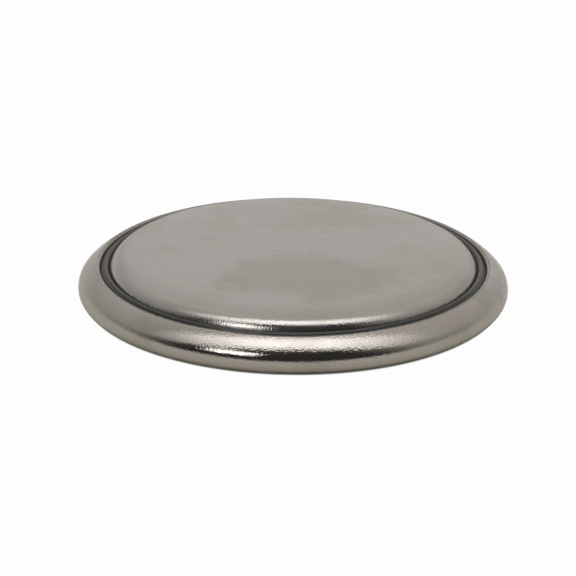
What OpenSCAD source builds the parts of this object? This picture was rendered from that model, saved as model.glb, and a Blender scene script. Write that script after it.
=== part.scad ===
// Flat lithium coin cell, lying on its positive face with the negative cap on top.
// Seven pieces share one axis: the can is crimped over a sealing gasket that grips the cap,
// and the electrode stack fills the space between the can's floor and the cap.
// Origin: centre of the flat positive face. +Z points out of the negative cap.

/* [Cell] */
// Outer diameter of the cell
cell_d = 16.0; // [13:0.1:24.5]
// Overall height, from the positive face to the negative contact
cell_h = 1.6; // [1.6:0.05:3.2]

/* [Positive can] */
// Sheet thickness of the can
can_t = 0.2; // [0.16:0.01:0.24]
// Outside radius of the drawn corner under the rim
corner_r = 0.4; // [0.3:0.01:0.41]
// Outside radius of the rim's tight bend, at the widest point of the cell
bend_r = 0.56; // [0.45:0.01:0.57]
// How far the tight bend turns before the crimp's flatter slope takes over
bend_angle = 44; // [44:1:50]
// Outside radius of the crimp's slope, from the tight bend to the lip
crimp_r = 2.2; // [1.6:0.05:2.25]
// Where the slope ends in the lip, measured from the widest point
crimp_angle = 61; // [56:1:61]

/* [Negative cap] */
// Sheet thickness of the cap
cap_t = 0.2; // [0.16:0.01:0.22]
// Height of the contact face above the crimped rim
cap_rise = 0.39; // [0.35:0.01:0.4]
// Outside radius of the shoulder round the contact face
shoulder_r = 0.75; // [0.65:0.01:0.8]
// Radius of the very shallow crown between the flat face and the shoulder
crown_r = 8; // [5:0.5:12]
// How far the crown has turned down where the shoulder starts
crown_angle = 5; // [2:0.5:7]
// Radius of the hollow where the cap's shoulder runs out into its flange
foot_r = 0.08; // [0.05:0.01:0.1]
// Outside radius of the bend between the cap's flange and its skirt
skirt_r = 0.26; // [0.23:0.01:0.28]

/* [Gasket] */
// Thickness of the gasket between the can's wall and the cap's skirt
gasket_t = 0.22; // [0.18:0.01:0.25]
// Width of the gasket ring that shows between the rim and the cap
gasket_neck = 0.35; // [0.25:0.01:0.4]
// Thickness of the gasket's foot, between the can's floor and the cap's skirt
gasket_foot_t = 0.12; // [0.1:0.01:0.15]
// Width of the gasket's foot
gasket_foot_w = 1.3; // [1.1:0.05:1.5]
// How far the top of the gasket lies below the top of the rim
gasket_sink = 0.06; // [0.03:0.01:0.1]

/* [Electrodes] */
// Thickness of the lithium disc
anode_t = 0.27; // [0.2:0.01:0.3]
// How far inside the flat of the contact face the lithium disc ends
anode_gap = 0.1; // [0.05:0.05:1]
// Thickness of the felt separator
separator_t = 0.14; // [0.1:0.01:0.16]
// Height of the separator's turned-up edge, over its floor
separator_lip = 0.12; // [0.1:0.01:0.14]
// Gap between the separator's edge and the inside of the cap
separator_gap = 0.06; // [0.03:0.01:0.15]
// Gap between the cathode pellet and the gasket's foot
pellet_gap = 0.12; // [0.05:0.01:0.3]
// Chamfer on the pellet's edges
pellet_chamfer = 0.08; // [0.04:0.01:0.12]

/* [Current collector] */
// Thickness of the expanded metal
net_t = 0.08; // [0.05:0.01:0.1]
// Long way of one diamond opening, middle to middle
net_long = 1.6; // [1.2:0.1:2.4]
// Short way of one diamond opening, middle to middle
net_short = 0.8; // [0.6:0.1:1.2]
// Width of the strands
net_strand = 0.16; // [0.12:0.01:0.24]
// Width of the flat rim round the net
net_rim = 0.3; // [0.2:0.05:0.5]
// How much the net is smaller than the pellet, on the radius
net_inset = 0.2; // [0.1:0.05:0.5]

/* [Hidden] */

steel = "#b3aea6";
cap_steel = "#a9a59e";
seal_grey = "#3f3e3b";
lithium_grey = "#c3c4c6";
felt_white = "#efeee8";
oxide_black = "#242426";
net_steel = "#8f8f8f";

round_steps = 16; // segments along each bend of the section
eps = 0.001;
$fn = 180;

cell_r = cell_d / 2;
rim_top = cell_h - cap_rise;                  // crest of the crimped rim
corner_c = [cell_r - corner_r, corner_r];     // centre of the drawn corner
crimp_c = [cell_r - bend_r - (crimp_r - bend_r) * cos(bend_angle),  // centre of the slope
           rim_top - can_t / 2 - (crimp_r - can_t / 2) * sin(crimp_angle)];
bend_c = crimp_c + (crimp_r - bend_r) * turn(bend_angle);           // centre of the tight bend

nose_c = crimp_c + (crimp_r - can_t / 2) * turn(crimp_angle);
nose_r = nose_c[0] - can_t / 2;               // free opening inside the crimped lip

gasket_in = cell_r - can_t - gasket_foot_w;
gasket_top = rim_top - gasket_sink;

shoulder_z = cell_h - crown_r + (crown_r - shoulder_r) * cos(crown_angle);
seal_angle = asin((gasket_top - shoulder_z) / shoulder_r);  // the gasket ends here on the shoulder
shoulder_c = [nose_r - gasket_neck - shoulder_r * cos(seal_angle), shoulder_z];
crown_c = [shoulder_c[0] - (crown_r - shoulder_r) * sin(crown_angle), cell_h - crown_r];
flange_r = crimp_r - can_t - gasket_t;        // the flange slopes with the crimp, round its centre
foot_c = meet(shoulder_c, shoulder_r + foot_r, crimp_c, flange_r + foot_r);
foot_start = toward(shoulder_c, foot_c);
foot_end = toward(crimp_c, foot_c);
skirt_angle = acos((cell_r - can_t - gasket_t - skirt_r - crimp_c[0]) / (flange_r - skirt_r));
skirt_c = crimp_c + (flange_r - skirt_r) * turn(skirt_angle);
skirt_end = min(can_t + gasket_foot_t, skirt_c[1] - eps);  // the skirt stands on the gasket's foot

stack_low = can_t;
stack_high = cell_h - cap_t;
pellet_low = stack_low + net_t;
anode_low = stack_high - anode_t;
separator_low = anode_low - separator_t;      // the pellet fills what is left below
anode_r = crown_c[0] - anode_gap;
separator_top = separator_low + separator_t + separator_lip;
separator_r = shoulder_c[0] - separator_gap
    + sqrt(pow(shoulder_r - cap_t, 2) - pow(max(separator_top - shoulder_z, 0), 2));
pellet_r = min(gasket_in - pellet_gap, separator_r);        // the separator covers the pellet
net_r = pellet_r - net_inset;

// Direction at an angle, in the section's plane.
function turn(angle) = [cos(angle), sin(angle)];
function toward(a, b) = atan2(b[1] - a[1], b[0] - a[0]);

// Outer crossing of the circle of radius ra round a with the one of radius rb round b.
function meet(a, ra, b, rb) =
    let (d = norm(b - a), u = (b - a) / d, along = (ra * ra - rb * rb + d * d) / (2 * d))
    a + along * u + sqrt(ra * ra - along * along) * [-u[1], u[0]];

// Points on an arc round c, from angle a to angle b.
function arc(c, r, a, b, n = round_steps) = [for (i = [0 : n]) c + r * turn(a + (b - a) * i / n)];

function reversed(points) = [for (i = [len(points) - 1 : -1 : 0]) points[i]];

// The sheet of the can, followed along its outside (inset 0) or inside (inset can_t).
function can_side(inset) = concat(
    [[0, inset]],
    arc(corner_c, corner_r - inset, -90, 0),
    crimp_side(inset));

// The rim alone: its tight bend and the slope up to the lip.
function crimp_side(inset) = concat(
    arc(bend_c, bend_r - inset, 0, bend_angle),
    arc(crimp_c, crimp_r - inset, bend_angle, crimp_angle));

// The sheet of the cap from under its shoulder to the end of its skirt, outside or inside.
function skirt_side(inset) = concat(
    arc(foot_c, foot_r + inset, 180 + foot_start, 180 + foot_end),
    arc(crimp_c, flange_r - inset, foot_end, skirt_angle),
    arc(skirt_c, skirt_r - inset, skirt_angle, 0),
    [[skirt_c[0] + skirt_r - inset, skirt_end]]);

// The sheet of the cap from the axis to the end of its shoulder, outside or inside.
function contact_side(inset) = concat(
    [[0, cell_h - inset]],
    arc(crown_c, crown_r - inset, 90, 90 - crown_angle),
    arc(shoulder_c, shoulder_r - inset, 90 - crown_angle, foot_start));

// A solid of revolution from a closed section in radius and height.
module turned(section) rotate_extrude() polygon(section);

module disc(r, low, high) translate([0, 0, low]) cylinder(r = r, h = high - low);

// Deep-drawn cup: flat floor, drawn corner and the rim crimped in to a rounded lip.
module positive_can() color(steel) turned(concat(
    can_side(0),
    arc(nose_c, can_t / 2, crimp_angle, crimp_angle + 180),
    reversed(can_side(can_t))));

// Pressed cap: contact face, round shoulder, sloping flange and the skirt inside the gasket.
module negative_cap() color(cap_steel) turned(concat(
    contact_side(0),
    skirt_side(0),
    reversed(skirt_side(cap_t)),
    reversed(contact_side(cap_t))));

// Moulded ring: foot under the skirt, wall beside it, and a neck that fills the crimp.
module gasket() color(seal_grey) turned(concat(
    [[gasket_in, can_t]],
    arc(corner_c, corner_r - can_t, -90, 0),
    crimp_side(can_t),
    arc(nose_c, can_t / 2, crimp_angle + 180, 180),
    [[nose_r - gasket_neck / 3, gasket_top]],
    arc(shoulder_c, shoulder_r, seal_angle, foot_start),
    skirt_side(0),
    [[gasket_in, skirt_end]]));

// Foil disc pressed against the inside of the cap.
module lithium_anode() color(lithium_grey) disc(anode_r, anode_low, stack_high);

// Felt disc with its edge turned up round the lithium.
module separator() color(felt_white) turned(
    let (edge_c = [separator_r - separator_t - eps, separator_low + separator_t + eps])
    concat(
        [[0, separator_low]],
        arc(edge_c, separator_t + eps, -90, 0),
        [[separator_r, separator_top], [edge_c[0] + eps, separator_top],
         [edge_c[0] + eps, edge_c[1] - eps],
         [0, edge_c[1] - eps]]));

// Pressed tablet of manganese dioxide, with chamfered edges.
module cathode_pellet() color(oxide_black) turned([
    [0, pellet_low],
    [pellet_r - pellet_chamfer, pellet_low],
    [pellet_r, pellet_low + pellet_chamfer],
    [pellet_r, separator_low - pellet_chamfer],
    [pellet_r - pellet_chamfer, separator_low],
    [0, separator_low]]);

// One diamond opening of the expanded metal, thinned by half a strand all round.
module diamond(at) {
    strand_cut = net_strand / 2 * sqrt(pow(net_long, 2) + pow(net_short, 2));
    half_long = net_long / 2 - strand_cut / net_short;
    half_short = net_short / 2 - strand_cut / net_long;
    translate(at) polygon([[half_long, 0], [0, half_short], [-half_long, 0], [0, -half_short]]);
}

// Expanded-metal disc that carries current from the pellet to the can's floor.
module current_collector() color(net_steel) translate([0, 0, stack_low]) linear_extrude(net_t) {
    columns = ceil(net_r / net_long);
    rows = ceil(net_r / net_short);
    difference() {
        circle(net_r);
        for (i = [-columns : columns], j = [-rows : rows], half = [0, 0.5]) {
            at = [(i + half) * net_long, (j + half) * net_short];
            if (norm(at) < net_r + net_short / 4) diamond(at);
        }
    }
    difference() {
        circle(net_r);
        circle(net_r - net_rim);
    }
}

positive_can();
negative_cap();
gasket();
lithium_anode();
separator();
cathode_pellet();
current_collector();
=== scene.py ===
import math

import bmesh
import bpy
from mathutils import Matrix, Vector


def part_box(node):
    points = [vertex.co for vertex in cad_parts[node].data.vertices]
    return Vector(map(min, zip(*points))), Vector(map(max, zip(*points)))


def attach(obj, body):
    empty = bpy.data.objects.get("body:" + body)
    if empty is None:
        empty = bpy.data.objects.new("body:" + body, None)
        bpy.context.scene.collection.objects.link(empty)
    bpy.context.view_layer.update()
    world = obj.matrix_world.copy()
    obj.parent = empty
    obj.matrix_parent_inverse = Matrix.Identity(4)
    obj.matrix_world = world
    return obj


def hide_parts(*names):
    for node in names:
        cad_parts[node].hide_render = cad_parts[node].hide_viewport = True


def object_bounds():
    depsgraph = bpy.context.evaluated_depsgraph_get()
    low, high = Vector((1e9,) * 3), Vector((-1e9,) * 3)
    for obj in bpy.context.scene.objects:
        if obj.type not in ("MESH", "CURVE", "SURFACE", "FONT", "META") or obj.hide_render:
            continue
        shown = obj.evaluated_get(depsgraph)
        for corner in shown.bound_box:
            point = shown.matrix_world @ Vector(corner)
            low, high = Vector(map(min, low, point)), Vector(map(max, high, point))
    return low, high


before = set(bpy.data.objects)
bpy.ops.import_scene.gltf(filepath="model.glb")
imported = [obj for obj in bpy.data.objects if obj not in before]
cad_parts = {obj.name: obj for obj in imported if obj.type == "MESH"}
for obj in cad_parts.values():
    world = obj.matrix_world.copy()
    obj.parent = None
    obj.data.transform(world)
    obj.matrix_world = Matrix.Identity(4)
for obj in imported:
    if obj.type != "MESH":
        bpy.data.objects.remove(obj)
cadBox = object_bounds()

mm = 0.001
turnSteps = 288       # steps of a full turn
mergeReach = 1e-7     # points closer than this are one
cellRadius = cadBox[1][0]
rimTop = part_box("positive_can")[1].z
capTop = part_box("negative_cap")[1].z
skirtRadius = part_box("negative_cap")[1].x
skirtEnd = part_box("negative_cap")[0].z
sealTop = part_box("gasket")[1].z

# Section drawing: a line in the XZ plane, later turned round Z.

faceRings = (0.25, 0.5, 0.75, 0.94, 0.99, 1)     # of a flat face, as shares of its radius
sheetEdge = {"sharpFrom": 60, "segments": 6}     # which edges of a sheet are rounded, and how


def startAt(bm, x, z):
    return bm.verts.new((x, 0, z))


def runTo(bm, vert, x, z):  # straight stretch of the section
    new = bmesh.ops.extrude_vert_indiv(bm, verts=[vert])["verts"][0]
    new.co = (x, 0, z)
    return new


def bendRound(bm, vert, centre, degrees, steps):  # counterclockwise round the centre
    turned = bmesh.ops.spin(bm, geom=[vert], cent=(centre[0], 0, centre[1]), axis=(0, -1, 0),
                            angle=math.radians(degrees), steps=steps)
    return [item for item in turned["geom_last"] if isinstance(item, bmesh.types.BMVert)][0]


def faceDisc(bm, z, radius):  # the rings are close at its edge, which keeps it flat
    tip = startAt(bm, 0, z)
    for share in faceRings:
        tip = runTo(bm, tip, radius * share, z)
    return tip


def turnSection(bm):
    bmesh.ops.spin(bm, geom=bm.verts[:] + bm.edges[:], cent=(0, 0, 0), axis=(0, 0, 1),
                   angle=2 * math.pi, steps=turnSteps, use_merge=True)
    bmesh.ops.remove_doubles(bm, verts=bm.verts, dist=mergeReach)
    bmesh.ops.recalc_face_normals(bm, faces=bm.faces)


def addSheet(bm, thickness, edgeShare):  # gives a turned skin its sheet, with rounded free edges
    bmesh.ops.solidify(bm, geom=bm.faces[:], thickness=thickness)
    sharp = math.radians(sheetEdge["sharpFrom"])
    rims = [edge for edge in bm.edges if edge.calc_face_angle(0) > sharp]
    bmesh.ops.bevel(bm, geom=rims, offset=thickness * edgeShare, segments=sheetEdge["segments"],
                    profile=0.5, affect="EDGES", material=-1)


def finishPiece(bm, name, material, node):
    mesh = bpy.data.meshes.new(name)
    bm.to_mesh(mesh)
    bm.free()
    mesh.shade_smooth()
    mesh.materials.append(material)
    piece = bpy.data.objects.new(name, mesh)
    bpy.context.scene.collection.objects.link(piece)
    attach(piece, "root")
    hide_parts(node)
    print("made", name, "with", len(mesh.polygons), "faces")


# Effects that several finishes share.

def newGroup(name, inputs, outputs):
    group = bpy.data.node_groups.new(name, "ShaderNodeTree")
    for label, kind, value in inputs:
        socket = group.interface.new_socket(label, in_out="INPUT", socket_type=kind)
        if value is not None:
            socket.default_value = value
    for label, kind in outputs:
        group.interface.new_socket(label, in_out="OUTPUT", socket_type=kind)
    inlet = group.nodes.new("NodeGroupInput").outputs
    outlet = group.nodes.new("NodeGroupOutput").inputs
    return group, inlet, outlet


def feed(tree, socket, value):  # an output is linked to the socket, anything else is set on it
    if isinstance(value, bpy.types.NodeSocket):
        tree.links.new(value, socket)
    else:
        socket.default_value = value


def addNode(tree, kind, settings=None, **sockets):
    # Adds a node. A socket goes by its label, with _ for a space, or by n and its number.
    node = tree.nodes.new(kind)
    for key, value in (settings or {}).items():
        setattr(node, key, value)
    for key, value in sockets.items():
        numbered = key[0] == "n" and key[1:].isdigit()
        feed(tree, node.inputs[int(key[1:]) if numbered else key.replace("_", " ")], value)
    return node


def mathNode(tree, operation, first, second=0.0):
    node = addNode(tree, "ShaderNodeMath", {"operation": operation}, n0=first, n1=second)
    return node.outputs[0]


def vectorNode(tree, operation, first, **sockets):
    node = addNode(tree, "ShaderNodeVectorMath", {"operation": operation}, n0=first, **sockets)
    return node.outputs


def splitVector(tree, vector):
    return addNode(tree, "ShaderNodeSeparateXYZ", n0=vector).outputs


def joinVector(tree, x=0.0, y=0.0, z=0.0):
    return addNode(tree, "ShaderNodeCombineXYZ", n0=x, n1=y, n2=z).outputs[0]


def lengthOf(tree, vector):
    return vectorNode(tree, "LENGTH", vector)["Value"]


def noiseNode(tree, **sockets):
    return addNode(tree, "ShaderNodeTexNoise", **sockets).outputs[0]


def smoothStep(tree, value, low, high):
    return addNode(tree, "ShaderNodeMapRange", {"interpolation_type": "SMOOTHSTEP"}, Value=value,
                   From_Min=low, From_Max=high).outputs[0]


def makeTurnedGrain():
    # Grain drawn out along the circumference, with no seam: the direction from the axis,
    # the height and the radius are the noise's four coordinates.
    group, inlet, outlet = newGroup(
        "turnedGrain",
        [("Vector", "NodeSocketVector", None), ("Around", "NodeSocketFloat", 30.0),
         ("Across", "NodeSocketFloat", 12000.0), ("Detail", "NodeSocketFloat", 2.0)],
        [("Height", "NodeSocketFloat")])
    split = splitVector(group, inlet["Vector"])
    level = joinVector(group, split[0], split[1])
    outward = vectorNode(group, "NORMALIZE", level)[0]
    circled = vectorNode(group, "SCALE", outward, Scale=inlet["Around"])[0]
    rise = mathNode(group, "MULTIPLY", split[2], inlet["Across"])
    place = vectorNode(group, "ADD", circled, n1=joinVector(group, z=rise))[0]
    depth = mathNode(group, "MULTIPLY", lengthOf(group, level), inlet["Across"])
    noise = addNode(group, "ShaderNodeTexNoise", {"noise_dimensions": "4D"},
                    Vector=place, W=depth, Scale=1.0, Detail=inlet["Detail"])
    group.links.new(noise.outputs[0], outlet["Height"])
    return group


def makeSmudges():
    # Soft cloudy marks from handling, with a sharper patchy part in them.
    finerBy, patchyShare, softEdge = 5.0, 0.3, 0.16
    group, inlet, outlet = newGroup(
        "smudges",
        [("Vector", "NodeSocketVector", None), ("Size", "NodeSocketFloat", 350.0),
         ("Cover", "NodeSocketFloat", 0.5)],
        [("Mask", "NodeSocketFloat")])
    broad = noiseNode(group, Vector=inlet["Vector"], Scale=inlet["Size"], Detail=3.0,
                      Roughness=0.55, Distortion=0.4)
    finer = mathNode(group, "MULTIPLY", inlet["Size"], finerBy)
    patchy = noiseNode(group, Vector=inlet["Vector"], Scale=finer, Detail=4.0,
                       Roughness=0.6, Distortion=0.8)
    both = mathNode(group, "ADD", mathNode(group, "MULTIPLY", broad, 1 - patchyShare),
                    mathNode(group, "MULTIPLY", patchy, patchyShare))
    mask = smoothStep(group, both, inlet["Cover"], mathNode(group, "ADD", inlet["Cover"], softEdge))
    group.links.new(mask, outlet["Mask"])
    return group


def makeRingShade():
    # Painted shade that fades with the distance from a circle round Z, with a ragged edge.
    raggedScale = 4000.0
    group, inlet, outlet = newGroup(
        "ringShade",
        [("Vector", "NodeSocketVector", None), ("Radius", "NodeSocketFloat", 0.007),
         ("Height", "NodeSocketFloat", 0.001), ("Near", "NodeSocketFloat", 0.0001),
         ("Far", "NodeSocketFloat", 0.0002)],
        [("Mask", "NodeSocketFloat")])
    split = splitVector(group, inlet["Vector"])
    level = joinVector(group, split[0], split[1])
    outward = mathNode(group, "SUBTRACT", lengthOf(group, level), inlet["Radius"])
    upward = mathNode(group, "SUBTRACT", split[2], inlet["Height"])
    apart = lengthOf(group, joinVector(group, outward, upward))
    ragged = noiseNode(group, Vector=inlet["Vector"], Scale=raggedScale, Detail=3.0)
    shift = mathNode(group, "MULTIPLY", mathNode(group, "SUBTRACT", ragged, 0.5),
                     mathNode(group, "SUBTRACT", inlet["Far"], inlet["Near"]))
    spread = addNode(group, "ShaderNodeMapRange", {"interpolation_type": "SMOOTHSTEP"},
                     Value=mathNode(group, "ADD", apart, shift), From_Min=inlet["Near"],
                     From_Max=inlet["Far"], To_Min=1.0, To_Max=0.0)
    group.links.new(spread.outputs[0], outlet["Mask"])
    return group


turnedGrain = makeTurnedGrain()
smudges = makeSmudges()
ringShade = makeRingShade()
print("shared effects made")


def placeGroup(tree, group, **sockets):
    return addNode(tree, "ShaderNodeGroup", {"node_tree": group}, **sockets).outputs[0]


# Sizes of the pressed pieces, and the centres they share.

canForm = {
    "sheet": 0.2 * mm,
    "cornerRadius": 0.4 * mm,
    "bendRadius": 0.56 * mm,
    "bendAngle": 44,       # the tight bend, from the widest point
    "crimpRadius": 2.2 * mm,
    "crimpAngle": 61,      # where the slope ends in the lip
    "cornerSteps": 14,
    "bendSteps": 14,
    "slopeSteps": 14,
    "lipRounding": 0.49,   # share of the sheet that its edge's rounding takes
}


def around(centre, radius, degrees):
    angle = math.radians(degrees)
    return centre[0] + radius * math.cos(angle), centre[1] + radius * math.sin(angle)


def angleFrom(centre, point):
    return math.degrees(math.atan2(point[1] - centre[1], point[0] - centre[0]))


def crimpCentre(form):
    bend, crimp, half = form["bendRadius"], form["crimpRadius"], form["sheet"] / 2
    inward = (crimp - bend) * math.cos(math.radians(form["bendAngle"]))
    drop = half + (crimp - half) * math.sin(math.radians(form["crimpAngle"]))
    return cellRadius - bend - inward, rimTop - drop


def bendCentre(form):
    return around(crimpCentre(form), form["crimpRadius"] - form["bendRadius"], form["bendAngle"])


def lipCentre(form):
    return around(crimpCentre(form), form["crimpRadius"] - form["sheet"] / 2, form["crimpAngle"])


capForm = {
    "sheet": 0.2 * mm,
    "shoulderRadius": 0.75 * mm,
    "crownRadius": 8 * mm,
    "crownAngle": 5,
    "footRadius": 0.08 * mm,
    "skirtBend": 0.26 * mm,
    "ringWidth": 0.35 * mm,   # what shows of the gasket, from the shoulder to the lip
    "crownSteps": 8,
    "shoulderSteps": 24,
    "footSteps": 8,
    "flangeSteps": 10,
    "skirtSteps": 8,
    "edgeRounding": 0.1,      # share of the sheet that its edge's rounding takes
}


def shoulderCentre(form):
    shoulder, crown = form["shoulderRadius"], form["crownRadius"]
    height = capTop - crown + (crown - shoulder) * math.cos(math.radians(form["crownAngle"]))
    atSeal = math.asin((sealTop - height) / shoulder)
    lipRadius = lipCentre(canForm)[0] - canForm["sheet"] / 2
    return lipRadius - form["ringWidth"] - shoulder * math.cos(atSeal), height


def outerCrossing(first, firstRadius, second, secondRadius):  # of two circles
    apart = math.dist(first, second)
    along = (firstRadius ** 2 - secondRadius ** 2 + apart ** 2) / (2 * apart)
    aside = math.sqrt(firstRadius ** 2 - along ** 2)
    east, north = (second[0] - first[0]) / apart, (second[1] - first[1]) / apart
    return first[0] + along * east - aside * north, first[1] + along * north + aside * east


def flangeRadius():  # round the crimp's centre, at the cap's outside
    skirtGap = cellRadius - canForm["sheet"] - skirtRadius
    return canForm["crimpRadius"] - canForm["sheet"] - skirtGap


def footCentre(form):
    return outerCrossing(shoulderCentre(form), form["shoulderRadius"] + form["footRadius"],
                         crimpCentre(canForm), flangeRadius() + form["footRadius"])


gasketForm = {
    "footWidth": 1.3 * mm,
    "beadRadius": 0.12 * mm,   # the rounded edge that shows in the groove
    "beadPlace": 0.205 * mm,   # from the lip to the crest of the bead
    "beadRise": 0.075 * mm,
    "beadEnd": 25,             # from here, as seen from its centre, it slopes down to the lip
    "crevice": 0.02 * mm,      # depth of the gap at the shoulder and of the end of the slope
    "cornerSteps": 6,
    "wallSteps": 8,
    "lipSteps": 6,
    "beadSteps": 16,
    "shoulderSteps": 4,
}


def creviceEnds(form):  # where the gaps beside the bead meet the lip and the shoulder
    lip, shoulder = lipCentre(canForm), shoulderCentre(capForm)
    height = sealTop - form["crevice"]
    underLip = math.asin((lip[1] - height) / (canForm["sheet"] / 2))
    onShoulder = math.asin((height - shoulder[1]) / capForm["shoulderRadius"])
    return (around(lip, canForm["sheet"] / 2, 180 + math.degrees(underLip)),
            around(shoulder, capForm["shoulderRadius"], math.degrees(onShoulder)))


atLip, atShoulder = creviceEnds(gasketForm)

# Finishes. Colours are linear, and a depth is the height of a bump.

def newFinish(name, metallic):
    material = bpy.data.materials.new(name)
    material.use_nodes = True
    tree = material.node_tree
    shader = tree.nodes["Principled BSDF"]
    shader.inputs["Metallic"].default_value = metallic
    return material, tree, shader


def placeOnPiece(tree):
    return addNode(tree, "ShaderNodeTexCoord").outputs["Object"]


def mixColours(tree, factor, first, second):  # a colour is three numbers or an output
    mix = addNode(tree, "ShaderNodeMix", {"data_type": "RGBA"}, n0=factor)
    for slot, colour in ((6, first), (7, second)):
        plain = not isinstance(colour, bpy.types.NodeSocket)
        feed(tree, mix.inputs[slot], (*colour, 1) if plain else colour)
    return mix.outputs[2]


def blendValues(tree, factor, first, second):
    mix = addNode(tree, "ShaderNodeMix", {"data_type": "FLOAT"}, n0=factor, n2=first, n3=second)
    return mix.outputs[0]


def ranged(tree, value, low, high):  # spreads a 0 to 1 value over low to high
    return addNode(tree, "ShaderNodeMapRange", Value=value, To_Min=low, To_Max=high).outputs[0]


def bumpFrom(tree, height, depth, below=None):
    node = addNode(tree, "ShaderNodeBump", Height=height, Strength=1.0, Distance=depth)
    if below is not None:
        tree.links.new(below, node.inputs["Normal"])
    return node.outputs[0]


def finishMetal(tree, shader, look, metal, stain, creviceShade, peel, grain):
    # creviceShade darkens the colour with painted crevice shade beside the gasket, and roughens it.
    colour = mixColours(tree, creviceShade, metal, look["creviceShade"])
    sheen = ranged(tree, stain, look["smooth"], look["dull"])
    roughness = blendValues(tree, creviceShade, sheen, look["creviceRoughness"])
    coarse = bumpFrom(tree, peel, look["peelDepth"])
    tree.links.new(colour, shader.inputs["Base Color"])
    tree.links.new(roughness, shader.inputs["Roughness"])
    tree.links.new(bumpFrom(tree, grain, look["grainDepth"], coarse), shader.inputs["Normal"])


def finishPlain(tree, shader, mask, colours, roughness, height, depth):
    tree.links.new(mixColours(tree, mask, *colours), shader.inputs["Base Color"])
    tree.links.new(ranged(tree, mask, *roughness), shader.inputs["Roughness"])
    tree.links.new(bumpFrom(tree, height, depth), shader.inputs["Normal"])


def makeNickel():
    look = {
        "colour": (0.53, 0.495, 0.455),
        "stain": (0.47, 0.434, 0.393),
        "smudges": {"Size": 260.0, "Cover": 0.47},
        "smooth": 0.07,
        "dull": 0.12,
        "peel": {"Around": 100.0, "Across": 15500.0, "Detail": 1.5},
        "peelDepth": 0.0062 * mm,
        "grain": {"Around": 300.0, "Across": 45000.0, "Detail": 2.0},
        "grainDepth": 0.0014 * mm,
        "creviceShade": (0.36, 0.343, 0.315),     # painted shade in the crevice beside the gasket
        "creviceRoughness": 0.3,
        "creviceNear": 0.04 * mm,
        "creviceFar": 0.17 * mm,
    }
    material, tree, shader = newFinish("nickelPlate", 1)
    place = placeOnPiece(tree)
    stain = placeGroup(tree, smudges, Vector=place, **look["smudges"])
    # Painted shade in the crevice between the lip and the gasket.
    creviceShade = placeGroup(tree, ringShade, Vector=place, Radius=atLip[0], Height=atLip[1],
                      Near=look["creviceNear"], Far=look["creviceFar"])
    plate = mixColours(tree, stain, look["colour"], look["stain"])
    grain = placeGroup(tree, turnedGrain, Vector=place, **look["grain"])
    peel = placeGroup(tree, turnedGrain, Vector=place, **look["peel"])
    finishMetal(tree, shader, look, plate, stain, creviceShade, peel, grain)
    return material


def makeCapSteel():
    look = {
        "colour": (0.53, 0.5, 0.47),
        "stain": (0.497, 0.467, 0.431),
        "smudges": {"Size": 230.0, "Cover": 0.46},
        "smooth": 0.14,
        "dull": 0.22,
        "peel": {"Scale": 14500.0, "Detail": 1.5},
        "peelDepth": 0.0062 * mm,
        "grain": {"Scale": 40000.0, "Detail": 2.0},
        "grainDepth": 0.0012 * mm,
        "creviceShade": (0.17, 0.162, 0.148),     # painted shade in the crevice beside the gasket
        "creviceRoughness": 0.3,
        "creviceNear": 0.03 * mm,
        "creviceFar": 0.17 * mm,
        "darkPatch": (0.452, 0.423, 0.392),   # darker patch towards the front of the face
        "patchScale": (300, 430, 0),
        "patchShift": (-0.1, 1.05, 0),
        "patchRagged": 0.3,
        "patchEdge": (1.05, 0.45),
    }
    material, tree, shader = newFinish("satinSteel", 1)
    place = placeOnPiece(tree)
    stain = placeGroup(tree, smudges, Vector=place, **look["smudges"])
    # Painted shade in the crevice between the shoulder and the gasket.
    creviceShade = placeGroup(tree, ringShade, Vector=place, Radius=atShoulder[0], Height=atShoulder[1],
                      Near=look["creviceNear"], Far=look["creviceFar"])
    # A darker patch with a ragged edge, towards the front of the face.
    onPatch = vectorNode(tree, "MULTIPLY_ADD", place, n1=look["patchScale"], n2=look["patchShift"])
    ragged = mathNode(tree, "MULTIPLY", stain, -look["patchRagged"])
    apart = mathNode(tree, "ADD", lengthOf(tree, onPatch[0]), ragged)
    darkPatch = smoothStep(tree, apart, *look["patchEdge"])
    steel = mixColours(tree, stain, look["colour"], look["stain"])
    steel = mixColours(tree, darkPatch, steel, look["darkPatch"])
    peel = noiseNode(tree, Vector=place, **look["peel"])
    grain = noiseNode(tree, Vector=place, **look["grain"])
    finishMetal(tree, shader, look, steel, stain, creviceShade, peel, grain)
    return material


def makeSealPlastic():
    look = {
        "colours": ((0.022, 0.023, 0.019), (0.045, 0.044, 0.037)),   # clean, dusty
        "roughness": (0.18, 0.3),
        "gloss": 0.65,
        "dust": {"Size": 700.0, "Cover": 0.5},
        "pull": {"Around": 40.0, "Across": 7000.0, "Detail": 2.0},
        "depth": 0.002 * mm,
    }
    material, tree, shader = newFinish("sealPlastic", 0)
    place = placeOnPiece(tree)
    shader.inputs["Specular IOR Level"].default_value = look["gloss"]
    dust = placeGroup(tree, smudges, Vector=place, **look["dust"])
    pull = placeGroup(tree, turnedGrain, Vector=place, **look["pull"])
    finishPlain(tree, shader, dust, look["colours"], look["roughness"], pull, look["depth"])
    return material


canFinish = makeNickel()
capFinish = makeCapSteel()
sealFinish = makeSealPlastic()
print("finishes made")


# Positive can: drawn cup with its rim crimped in.

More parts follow.
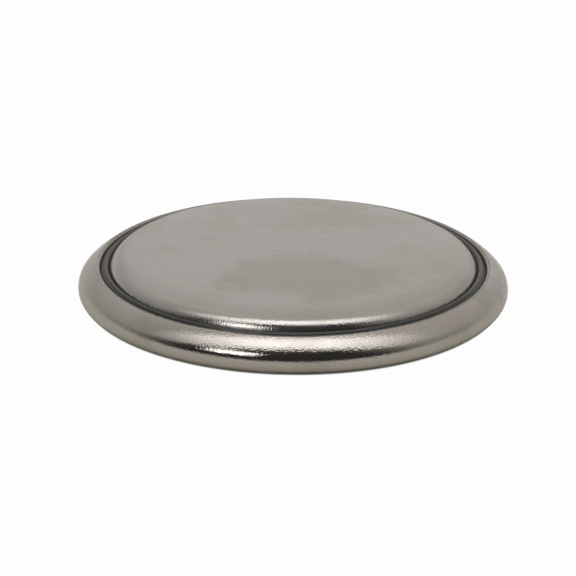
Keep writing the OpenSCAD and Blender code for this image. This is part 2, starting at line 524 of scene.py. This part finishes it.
def buildCan(form):
    sheet, corner = form["sheet"], form["cornerRadius"]
    bend, crimp = bendCentre(form), crimpCentre(form)
    lipTurn = math.degrees(sheet / 2 / (form["crimpRadius"] - sheet / 2))  # room for the round lip
    bm = bmesh.new()
    tip = faceDisc(bm, 0, cellRadius - corner)
    tip = bendRound(bm, tip, (cellRadius - corner, corner), 90, form["cornerSteps"])
    tip = runTo(bm, tip, cellRadius, bend[1])
    tip = bendRound(bm, tip, bend, form["bendAngle"], form["bendSteps"])
    slope = form["crimpAngle"] - form["bendAngle"] + lipTurn
    bendRound(bm, tip, crimp, slope, form["slopeSteps"])
    turnSection(bm)
    addSheet(bm, sheet, form["lipRounding"])
    finishPiece(bm, "positiveCan", canFinish, "positive_can")


buildCan(canForm)


# Negative cap: contact face, crown, round shoulder, sloping flange and skirt.

def runSkirt(bm, tip, form):  # from the end of the shoulder to the end of the skirt
    crimp, foot, bend = crimpCentre(canForm), footCentre(form), form["skirtBend"]
    footStart, footEnd = angleFrom(shoulderCentre(form), foot), angleFrom(crimp, foot)
    flange = flangeRadius()
    skirtTurn = math.degrees(math.acos((skirtRadius - bend - crimp[0]) / (flange - bend)))
    skirtCentre = around(crimp, flange - bend, skirtTurn)
    tip = bendRound(bm, tip, foot, footEnd - footStart, form["footSteps"])
    tip = bendRound(bm, tip, crimp, skirtTurn - footEnd, form["flangeSteps"])
    tip = bendRound(bm, tip, skirtCentre, -skirtTurn, form["skirtSteps"])
    return runTo(bm, tip, skirtRadius, skirtEnd)


def buildCap(form):
    shoulder, crownAngle = shoulderCentre(form), form["crownAngle"]
    reach = form["crownRadius"] - form["shoulderRadius"]
    crown = (shoulder[0] - reach * math.sin(math.radians(crownAngle)), capTop - form["crownRadius"])
    footStart = angleFrom(shoulder, footCentre(form))
    bm = bmesh.new()
    tip = faceDisc(bm, capTop, crown[0])
    tip = bendRound(bm, tip, crown, -crownAngle, form["crownSteps"])
    tip = bendRound(bm, tip, shoulder, footStart + crownAngle - 90, form["shoulderSteps"])
    runSkirt(bm, tip, form)
    turnSection(bm)
    addSheet(bm, form["sheet"], form["edgeRounding"])
    finishPiece(bm, "negativeCap", capFinish, "negative_cap")


buildCap(capForm)


# Gasket: foot, wall beside the skirt and the neck that shows in the groove.

def buildGasket(form):
    sheet, corner = canForm["sheet"], canForm["cornerRadius"]
    bendAngle, crimpAngle = canForm["bendAngle"], canForm["crimpAngle"]
    lip, shoulder, beadRadius = lipCentre(canForm), shoulderCentre(capForm), form["beadRadius"]
    inner = cellRadius - sheet - form["footWidth"]
    bead = (lip[0] - sheet / 2 - form["beadPlace"], sealTop + form["beadRise"] - beadRadius)
    beadStart = 180 - math.degrees(math.asin((atShoulder[1] - bead[1]) / beadRadius))
    footStart = angleFrom(shoulder, footCentre(capForm))
    bm = bmesh.new()
    first = startAt(bm, inner, sheet)
    tip = runTo(bm, first, cellRadius - corner, sheet)
    tip = bendRound(bm, tip, (cellRadius - corner, corner), 90, form["cornerSteps"])
    tip = runTo(bm, tip, cellRadius - sheet, bendCentre(canForm)[1])
    tip = bendRound(bm, tip, bendCentre(canForm), bendAngle, form["wallSteps"])
    tip = bendRound(bm, tip, crimpCentre(canForm), crimpAngle - bendAngle, form["wallSteps"])
    underLip = angleFrom(lip, atLip) % 360 - 180 - crimpAngle
    tip = bendRound(bm, tip, lip, underLip, form["lipSteps"])
    tip = runTo(bm, tip, *around(bead, beadRadius, form["beadEnd"]))
    tip = bendRound(bm, tip, bead, beadStart - form["beadEnd"], form["beadSteps"])
    tip = runTo(bm, tip, *atShoulder)
    onShoulder = footStart - angleFrom(shoulder, atShoulder)
    tip = bendRound(bm, tip, shoulder, onShoulder, form["shoulderSteps"])
    tip = runSkirt(bm, tip, capForm)
    tip = runTo(bm, tip, inner, skirtEnd)
    bm.edges.new((tip, first))
    turnSection(bm)
    finishPiece(bm, "gasketRing", sealFinish, "gasket")


buildGasket(gasketForm)


# Pieces inside the closed cell: the CAD shapes stay, with their own finishes.

def makeLithium():
    look = {
        "colours": ((0.56, 0.555, 0.535), (0.27, 0.262, 0.25)),   # bright, tarnished
        "roughness": (0.26, 0.5),
        "tarnish": {"Size": 500.0, "Cover": 0.5},
        "rolled": (400, 9000, 400),   # marks drawn out along X and Z
        "depth": 0.002 * mm,
    }
    material, tree, shader = newFinish("lithiumFoil", 1)
    place = placeOnPiece(tree)
    tarnish = placeGroup(tree, smudges, Vector=place, **look["tarnish"])
    drawn = vectorNode(tree, "MULTIPLY", place, n1=look["rolled"])[0]
    marks = noiseNode(tree, Vector=drawn, Scale=1.0, Detail=3.0)
    finishPlain(tree, shader, tarnish, look["colours"], look["roughness"], marks, look["depth"])
    return material


def makeFelt():
    look = {
        "colours": ((0.5, 0.49, 0.45), (0.78, 0.77, 0.73)),   # painted shade in the hollows, then the strands
        "roughness": 0.85,
        "strand": (6000, 1400, 6000),
        "turns": (0.3, 1.4, 2.4),     # the strands lie in three directions
        "raised": (0.45, 0.7),
        "depth": 0.012 * mm,
    }
    material, tree, shader = newFinish("fibreFelt", 0)
    place = placeOnPiece(tree)
    shader.inputs["Roughness"].default_value = look["roughness"]
    fibres = 0.0
    for turn in look["turns"]:
        along = addNode(tree, "ShaderNodeVectorRotate", {"rotation_type": "Z_AXIS"},
                        Vector=place, Angle=turn).outputs[0]
        drawn = vectorNode(tree, "MULTIPLY", along, n1=look["strand"])[0]
        layer = noiseNode(tree, Vector=drawn, Scale=1.0, Detail=2.0, Distortion=0.3)
        fibres = mathNode(tree, "MAXIMUM", layer, fibres)
    raised = smoothStep(tree, fibres, *look["raised"])
    # The hollows between the raised strands get a painted shade.
    tree.links.new(mixColours(tree, raised, *look["colours"]), shader.inputs["Base Color"])
    tree.links.new(bumpFrom(tree, raised, look["depth"]), shader.inputs["Normal"])
    return material


def makePressedPowder():
    look = {
        "colours": ((0.016, 0.015, 0.014), (0.05, 0.047, 0.043)),   # painted shade between grains, painted shine on grains
        "roughness": (0.45, 0.8),
        "grainScale": 9000.0,
        "clumpScale": 2500.0,
        "shining": (0.2, 0.5),
        "depth": 0.01 * mm,
    }
    material, tree, shader = newFinish("pressedPowder", 0)
    place = placeOnPiece(tree)
    grains = addNode(tree, "ShaderNodeTexVoronoi", Vector=place, Scale=look["grainScale"])
    clumps = noiseNode(tree, Vector=place, Scale=look["clumpScale"], Detail=4.0)
    height = mathNode(tree, "MULTIPLY", grains.outputs["Distance"], clumps)
    shine = smoothStep(tree, height, *look["shining"])
    # Painted shade between the grains and painted shine on them.
    tree.links.new(mixColours(tree, shine, *look["colours"]), shader.inputs["Base Color"])
    tree.links.new(ranged(tree, clumps, *look["roughness"]), shader.inputs["Roughness"])
    tree.links.new(bumpFrom(tree, height, look["depth"]), shader.inputs["Normal"])
    return material


def makeNetSteel():
    look = {
        "colours": ((0.5, 0.49, 0.47), (0.33, 0.31, 0.28)),   # clean, stained
        "roughness": (0.2, 0.38),
        "smudges": {"Size": 900.0, "Cover": 0.48},
        "markScale": 15000.0,
        "depth": 0.002 * mm,
    }
    material, tree, shader = newFinish("netSteel", 1)
    place = placeOnPiece(tree)
    stain = placeGroup(tree, smudges, Vector=place, **look["smudges"])
    marks = noiseNode(tree, Vector=place, Scale=look["markScale"], Detail=3.0)
    finishPlain(tree, shader, stain, look["colours"], look["roughness"], marks, look["depth"])
    return material


innerFinishes = {"lithium_anode": makeLithium(), "separator": makeFelt(),
                 "cathode_pellet": makePressedPowder(), "current_collector": makeNetSteel()}
for node, finish in innerFinishes.items():
    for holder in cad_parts[node].material_slots:
        holder.material = finish
print("inner pieces dressed")


# Floor and light.

floorSize = 2
floorMesh = bpy.data.meshes.new("floor")
bm = bmesh.new()
bmesh.ops.create_grid(bm, x_segments=1, y_segments=1, size=floorSize)
bm.to_mesh(floorMesh)
bm.free()
floor = bpy.data.objects.new("floor", floorMesh)
bpy.context.scene.collection.objects.link(floor)


def makeFloorFinish():
    look = {
        "colour": (0.86, 0.84, 0.76),
        "roughness": 0.9,
        "seenWhite": 0.97,            # share of plain white in what the camera sees
        "mirroredWhite": 0.1,         # and in what shows in the metal
        "contactReach": 0.05 * mm,    # how far from the cell each of them is shaded
        "mirroredReach": 0.6 * mm,
    }
    material, tree, shader = newFinish("paleFloor", 0)
    shader.inputs["Base Color"].default_value = (*look["colour"], 1)
    shader.inputs["Roughness"].default_value = look["roughness"]
    white = addNode(tree, "ShaderNodeEmission").outputs[0]
    rays = addNode(tree, "ShaderNodeLightPath").outputs
    share = 0.0
    for ray, level, reach in (("Is Camera Ray", "seenWhite", "contactReach"),
                              ("Is Glossy Ray", "mirroredWhite", "mirroredReach")):
        openness = addNode(tree, "ShaderNodeAmbientOcclusion", Distance=look[reach]).outputs["AO"]
        shown = mathNode(tree, "MULTIPLY", rays[ray], look[level])
        share = mathNode(tree, "MAXIMUM", mathNode(tree, "MULTIPLY", shown, openness), share)
    blend = addNode(tree, "ShaderNodeMixShader", n0=share, n1=shader.outputs[0], n2=white)
    tree.links.new(blend.outputs[0], tree.nodes["Material Output"].inputs["Surface"])
    return material


floorMesh.materials.append(makeFloorFinish())

studio = {
    "dark": 0.042,         # the camera's side of the room
    "sides": 0.39,
    "backdrop": 0.66,
    "lowShade": 0.8,       # share of their light that the walls keep near the table
    "lowShadeRise": (0.3, 0.65),
    "darkUntil": -0.67,    # where it starts to lighten, from -1 at the camera to 1 behind
    "tilt": 0.18,          # how far the light parts come round on the right
    "sweep": 0.54,         # the pale table, which curves up at its edges
    "sweepRise": (0.03, 0.31),
    "behind": (0.9, 0.99),            # the part of the backdrop that the flat face shows
    "behindLift": (1.05, 0.88),       # and how it fades with height
    "behindRise": (0.34, 0.4),
    "overhead": 2.0,                  # the strip light above
    "overheadFront": (-0.3, -0.26),   # its soft edges, as Y over Z from the origin
    "overheadBack": (0.07, 0.17),
    "overheadSpread": 0.62,           # and how far it reaches sideways, as X over Z
    "leastRise": 0.001,               # Z is taken as no less than this
    "wallTint": (1, 0.98, 0.95),
}


def makeStudioWorld(look):
    world = bpy.data.worlds.new("studio")
    bpy.context.scene.world = world
    world.use_nodes = True
    tree = world.node_tree
    toward = splitVector(tree, addNode(tree, "ShaderNodeTexCoord").outputs["Generated"])
    level = joinVector(tree, toward[0], toward[1])
    flat = splitVector(tree, vectorNode(tree, "NORMALIZE", level)[0])
    turned = mathNode(tree, "ADD", flat[1], mathNode(tree, "MULTIPLY", flat[0], look["tilt"]))
    # The walls, from the camera's side round to the backdrop.
    front = smoothStep(tree, turned, look["darkUntil"], 0.0)
    walls = blendValues(tree, front, look["dark"], look["sides"])
    walls = blendValues(tree, ranged(tree, turned, 0.0, 1.0), walls, look["backdrop"])
    high = smoothStep(tree, toward[2], *look["lowShadeRise"])
    shaded = blendValues(tree, high, look["lowShade"], 1.0)
    behind = smoothStep(tree, turned, *look["behind"])
    lift = blendValues(tree, smoothStep(tree, toward[2], *look["behindRise"]), *look["behindLift"])
    walls = mathNode(tree, "MULTIPLY", walls, blendValues(tree, behind, shaded, lift))
    aboveTable = smoothStep(tree, toward[2], *look["sweepRise"])
    room = blendValues(tree, aboveTable, look["sweep"], walls)
    # The strip light, which fades to its left and right.
    up = mathNode(tree, "MAXIMUM", toward[2], look["leastRise"])
    sideways = mathNode(tree, "DIVIDE", toward[0], up)
    spread = mathNode(tree, "DIVIDE", sideways, look["overheadSpread"])
    squared = mathNode(tree, "MULTIPLY", spread, spread)
    fall = mathNode(tree, "EXPONENT", mathNode(tree, "MULTIPLY", squared, -1.0))
    lean = mathNode(tree, "DIVIDE", toward[1], up)
    strip = mathNode(tree, "SUBTRACT", smoothStep(tree, lean, *look["overheadFront"]),
                     smoothStep(tree, lean, *look["overheadBack"]))
    overhead = mathNode(tree, "MULTIPLY", strip, fall)
    lit = blendValues(tree, overhead, room, look["overhead"])
    # The camera itself sees plain white.
    seen = addNode(tree, "ShaderNodeLightPath").outputs["Is Camera Ray"]
    untinted = mathNode(tree, "MAXIMUM", overhead, seen)
    background = tree.nodes["Background"].inputs
    tree.links.new(blendValues(tree, seen, lit, 1.0), background["Strength"])
    tree.links.new(mixColours(tree, untinted, look["wallTint"], (1, 1, 1)), background["Color"])


makeStudioWorld(studio)

frontLamp = {
    "across": -38,     # degrees from the camera's side, here to the left
    "up": 46,          # degrees above the floor
    "far": 0.35,
    "width": 0.12,
    "depth": 0.13,
    "level": 2.3,      # at 1 it looks white in a mirror
}


def addSoftbox(name, look):  # aimed at the origin
    across, up, far = math.radians(look["across"]), math.radians(look["up"]), look["far"]
    place = Vector((far * math.cos(up) * math.sin(across),
                    -far * math.cos(up) * math.cos(across), far * math.sin(up)))
    lamp = bpy.data.lights.new(name, "AREA")
    lamp.shape = "RECTANGLE"
    lamp.size, lamp.size_y = look["width"], look["depth"]
    lamp.energy = look["level"] * math.pi * look["width"] * look["depth"]
    holder = bpy.data.objects.new(name, lamp)
    holder.location = place
    holder.rotation_euler = (-place).to_track_quat("-Z", "Y").to_euler()
    bpy.context.scene.collection.objects.link(holder)


addSoftbox("frontLamp", frontLamp)
print("light set")

# Camera.

view = {
    "distance": 75 * mm,
    "elevation": 20.86,
    "target": (0, 0, 0.8 * mm),
    "aimOffset": (-0.188 * mm, -0.62 * mm),   # to the right and upwards, as the camera sees
    "lens": 125.48,
    "roll": 0.47,
    "clipFrom": 10 * mm,
}


def placeCamera(look):
    tilt = math.radians(look["elevation"])
    target = Vector(look["target"])
    away = Vector((0, -math.cos(tilt), math.sin(tilt)))
    upward = Vector((0, math.sin(tilt), math.cos(tilt)))
    across, rise = look["aimOffset"]
    place = target + away * look["distance"]
    aim = target + Vector((across, 0, 0)) + upward * rise
    camera = bpy.data.objects.new("camera", bpy.data.cameras.new("camera"))
    camera.data.lens = look["lens"]
    camera.data.clip_start = look["clipFrom"]
    turn = (aim - place).to_track_quat("-Z", "Y").to_matrix().to_4x4()
    roll = Matrix.Rotation(math.radians(look["roll"]), 4, "Z")
    camera.matrix_world = Matrix.Translation(place) @ turn @ roll
    bpy.context.scene.collection.objects.link(camera)
    bpy.context.scene.camera = camera


placeCamera(view)
print("camera placed")
bpy.context.scene.view_settings.view_transform = "Standard"
